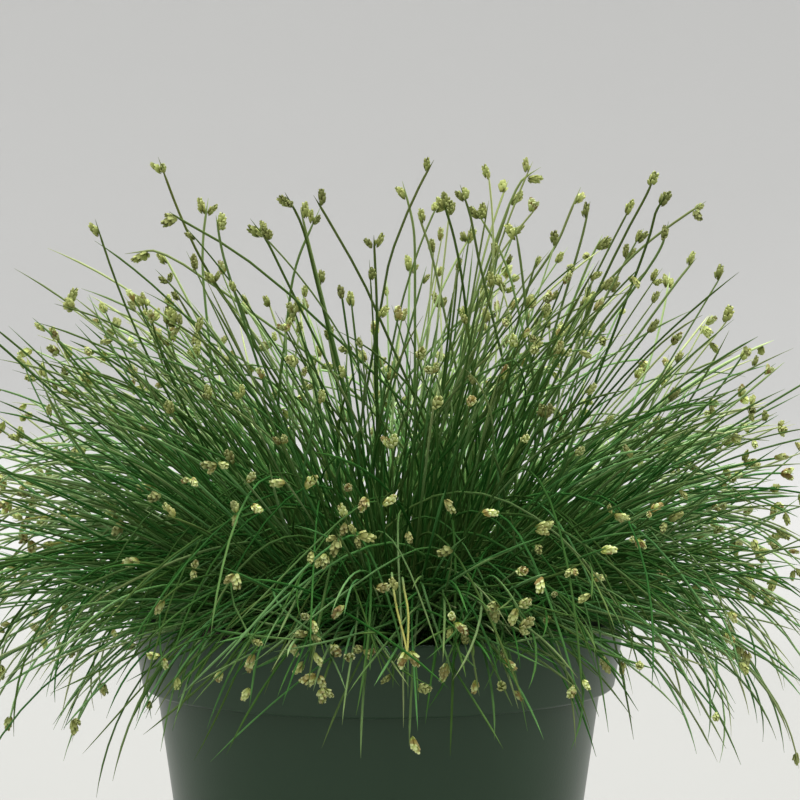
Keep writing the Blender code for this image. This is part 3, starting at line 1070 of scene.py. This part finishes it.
def grow_culms():
    """All the culms, and for each of them its spikelets."""
    rng = random.Random(SEED)
    paths = culm_paths(rng)
    culms = []
    heads = []
    for pixels in STRAWS:
        path = drawn_path(pixels, -STRAW_DEPTH)
        straw = Culm(path, CULM_RADIUS, tone=0.5, warm=1.0, dry=1.0, bract=SPIKELET_LENGTH,
                     stout=False)
        culms.append(straw)
        heads.append(heads_of(straw, rng))
    for number, (path, bears) in enumerate(paths):
        stout = number < len(DRAWN_CULMS)
        in_front = path[:, 1].mean() < FRONT_CULMS_FROM
        tone = tone_of(path, in_front, stout, rng)
        low = path[-1][2] < WITHERED_BELOW
        withered = rng.random() < WITHERED_CHANCE and low and not in_front
        dry = 1.0 if withered else DRY_TRACE * rng.random() ** DRY_RARITY
        radius = CULM_RADIUS * (STOUT_GIRTH if stout else rng.uniform(*CULM_GIRTHS))
        bract = SPIKELET_LENGTH * (rng.uniform(*BEARING_BRACTS) if bears else BARE_BRACT)
        if bears:  # the middle of the spikelet stays at the end of the path
            path = lengthened(path, bract * HEAD_SEAT - SPIKELET_LENGTH * 0.5)
        warm = rng.betavariate(WARMTH_SPREAD, WARMTH_SPREAD) * (FRONT_WARMTH if in_front else 1)
        culm = Culm(path, radius, tone, warm, dry, bract, stout)
        culms.append(culm)
        heads.append(heads_of(culm, rng) if bears else [])
    return culms, heads


def nearest_tuft(path, middles):
    """Which tuft of the solid model the culm belongs to."""
    middle = path[len(path) // 2:].mean(axis=0)
    return int(np.argmin(np.linalg.norm(middles - middle, axis=1)))


def dress_tufts(culm_material, spikelet_material):
    """Replaces each tuft by its culms and spikelets."""
    culm_pattern = as_pattern(model_culm())
    head_pattern, flare = spikelet_pattern()
    rings = sorted({round(z, 6) for z in culm_pattern.points[:, 2]})
    culms, heads = grow_culms()
    boxes = [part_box(tuft) for tuft in TUFTS]
    middles = np.array([np.array((Vector(low) + Vector(high)) / 2) for low, high in boxes])
    owners = [nearest_tuft(culm.path, middles) for culm in culms]
    for number, tuft in enumerate(TUFTS):
        label = tuft.replace("tuft_", "")
        mine = [i for i, owner in enumerate(owners) if owner == number]
        corners = [swept(culm_pattern, culms[i], rings) for i in mine]
        whole = np.ones(len(culm_pattern.points))
        layers = {
            "along": [culm_pattern.points[:, 2]] * len(mine),
            "tone": [whole * culms[i].tone for i in mine],
            "warm": [whole * culms[i].warm for i in mine],
            "dry": [whole * culms[i].dry for i in mine],
        }
        piece = repeated(f"culms_{label}", culm_pattern, corners, layers)
        strip_map(piece, culm_pattern, len(mine))
        clad(piece, culm_material)
        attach(piece, "root")
        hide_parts(tuft)
        borne = [head for i in mine for head in heads[i]]
        if not borne:
            continue
        corners = [placed(head_pattern, head) for head in borne]
        whole = np.ones(len(head_pattern.points))
        layers = {
            "flare": [flare] * len(borne),
            "tone": [whole * head.tone for head in borne],
            "age": [whole * head.age for head in borne],
        }
        piece = repeated(f"spikelets_{label}", head_pattern, corners, layers)
        piece.data.shade_flat()
        clad(piece, spikelet_material)
        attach(piece, "root")


def dress_pot():
    """The pot: collar with rounded edges, tapering body and a smooth inside."""
    foot = RIM_HEIGHT - 18.5 * MM  # height of the collar's lower edge
    collar = RIM_RADIUS - 3 * MM  # radius of that edge
    neck = RIM_RADIUS - 6.6 * MM  # radius of the body under the collar
    base = 46 * MM  # radius of the body at its foot
    rounding = 3 * MM  # of the body's lower edge
    shoulder = 0.9 * MM  # the middle of that rounding
    wall = 2.2 * MM
    floor = 2.6 * MM
    hair = 0.01 * MM  # heights that differ by less are the same
    profile = (
        (base - rounding, 0),
        (base - shoulder, shoulder),
        (base, rounding),
        (neck, foot),
        (collar, foot),
        (RIM_RADIUS, RIM_HEIGHT),
        (RIM_RADIUS - wall, RIM_HEIGHT),
        (collar - wall, foot + wall),
        (neck - wall, foot),
        (base - wall, floor),
    )
    pot = raised("flower_pot", profile, sides=128)
    bm = bmesh.from_edit_mesh(pot.data)
    for edge in bm.edges:
        at_rim = all(v.co.z > RIM_HEIGHT - hair for v in edge.verts)
        at_foot = all(abs(v.co.z - foot) < hair for v in edge.verts)
        on_collar = all(v.co.xy.length > neck + 1 * MM for v in edge.verts)
        edge.select = at_rim or (at_foot and on_collar)
    bmesh.update_edit_mesh(pot.data)
    bpy.ops.mesh.bevel(offset=0.8 * MM, segments=4, affect="EDGES")
    finish_edit(pot)
    pot.data.shade_smooth()
    pot.data.set_sharp_from_angle(angle=math.radians(40))
    clad(pot, pot_finish())
    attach(pot, "root")
    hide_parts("pot")


def dress_soil():
    """The soil's lumpy top, and its plain sides inside the pot."""
    low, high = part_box("potting_soil")
    brim = (high[0] - low[0]) / 2
    edge = SOIL_TOP - 1 * MM
    rings = 18
    ring_width = 3.2 * MM
    hem = 0.5 * MM  # the strip along the wall that stays flat
    lift = 0.5 * MM
    profile = (  # radii and heights just inside the pot's wall
        (41 * MM, low[2]),
        (55 * MM, low[2] + 86 * MM),
        (brim - 1 * MM, SOIL_TOP - 8 * MM),
        (brim, edge),
    )
    soil = raised("soil_top", profile, sides=96)
    for _ in range(rings):
        bpy.ops.mesh.inset(thickness=ring_width)
    bpy.ops.mesh.poke()
    finish_edit(soil)
    for vertex in soil.data.vertices:
        if vertex.co.z > edge - hem and vertex.co.xy.length < brim - hem:
            lumps = noise.noise(vertex.co * 90) * 1.2
            crumbs = noise.noise(vertex.co * 350) * 0.9
            vertex.co.z += (lumps + crumbs) * MM + lift
    soil.data.shade_smooth()
    clad(soil, soil_finish())
    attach(soil, "root")
    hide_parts("potting_soil")


def dress_crown():
    """The crown's dome, finely uneven."""
    rings = 12
    profile = [(CROWN_RADIUS - CROWN_EDGE, SOIL_TOP)]
    for k in range(rings, 0, -1):
        share = k / rings
        dome = (CROWN_RISE - CROWN_EDGE) * (1 - share * share)
        profile.append((CROWN_RADIUS * share, SOIL_TOP + CROWN_EDGE + dome))
    crown = raised("crown_dome", profile, sides=72)
    bpy.ops.mesh.poke()
    bpy.ops.mesh.select_all(action="SELECT")
    bpy.ops.transform.translate(value=(CROWN_MIDDLE, 0, 0))
    finish_edit(crown)
    buried = SOIL_TOP + 1 * MM
    for vertex in crown.data.vertices:
        if vertex.co.z > buried:
            vertex.co.z += noise.noise(vertex.co * 260) * 0.9 * MM
    crown.data.shade_smooth()
    clad(crown, crown_finish())
    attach(crown, "root")
    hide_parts("root_crown")


def build_stage():
    """A round pale floor that curves up into a light grey wall all round."""
    floor_radius = 2.3
    wall_curve = 0.8
    wall_height = 1.2
    steps = 8
    fade_from = 0.7
    fade_to = 1.9
    nothing_selected()
    bpy.ops.mesh.primitive_circle_add(vertices=96, radius=floor_radius, fill_type="NGON")
    floor = start("studio_floor")
    bpy.ops.mesh.select_mode(type="EDGE")
    bpy.ops.mesh.select_all(action="SELECT")
    radius = floor_radius
    height = 0.0
    for k in range(1, steps + 1):
        turn = math.radians(90 * k / steps)
        next_radius = floor_radius + wall_curve * math.sin(turn)
        next_height = wall_curve * (1 - math.cos(turn))
        rise = next_height - height
        bpy.ops.mesh.extrude_edges_move(TRANSFORM_OT_translate={"value": (0, 0, rise)})
        size = next_radius / radius
        bpy.ops.transform.resize(value=(size, size, 1))
        radius, height = next_radius, next_height
    bpy.ops.mesh.extrude_edges_move(TRANSFORM_OT_translate={"value": (0, 0, wall_height)})
    finish_edit(floor)
    floor.data.shade_smooth()
    f = Finish("studio", 0.2)
    length = f.node("ShaderNodeVectorMath", {"operation": "LENGTH"}, {0: f.place()})
    away = f.between(length.outputs["Value"], fade_from, fade_to)
    floor_grey = (0.315, 0.315, 0.3)
    wall_grey = (0.522, 0.522, 0.514)
    f.colour(f.mix(away, floor_grey, wall_grey))
    f.roughness(0.9)
    clad(floor, f.material)


def add_lamp(name, place, size, power):
    """A square soft lamp that faces the middle of the object."""
    middle = Vector((0, 0, 0.15))
    lamp = bpy.data.lights.new(name, "AREA")
    lamp.energy = power
    lamp.size = size
    holder = bpy.data.objects.new(name, lamp)
    bpy.context.scene.collection.objects.link(holder)
    holder.location = place
    holder.rotation_euler = (middle - Vector(place)).to_track_quat("-Z", "Y").to_euler()
    holder.visible_camera = False


def light_studio():
    """Light from above and behind, weaker from both sides, and a pale sky."""
    add_lamp("key_light", (0.3, 0.4, 1.85), size=0.6, power=37)
    add_lamp("back_light", (-0.8, 1.5, 1.2), size=1.0, power=16)
    add_lamp("left_light", (-2.3, 0.4, 1.9), size=1.6, power=20)
    add_lamp("right_light", (2.3, 0.4, 1.9), size=1.6, power=23)
    world = bpy.data.worlds.new("studio_sky")
    bpy.context.scene.world = world
    world.use_nodes = True
    sky = world.node_tree.nodes["Background"]
    sky.inputs["Color"].default_value = (1, 1, 1, 1)
    sky.inputs["Strength"].default_value = 1.0


def add_camera():
    """The photograph's viewpoint, as a long lens a little above the rim."""
    data = bpy.data.cameras.new("camera")
    data.sensor_width = SENSOR
    data.lens = FOCAL_PIXELS / IMAGE * SENSOR
    camera = bpy.data.objects.new("camera", data)
    bpy.context.scene.collection.objects.link(camera)
    camera.location = CAMERA_PLACE
    camera.rotation_euler = (math.pi / 2 - CAMERA_TILT, 0, 0)
    bpy.context.scene.camera = camera


add_camera()
light_studio()
build_stage()
dress_pot()
dress_soil()
dress_crown()
dress_tufts(culm_finish(), spikelet_finish())
bpy.context.scene.view_settings.view_transform = "Standard"
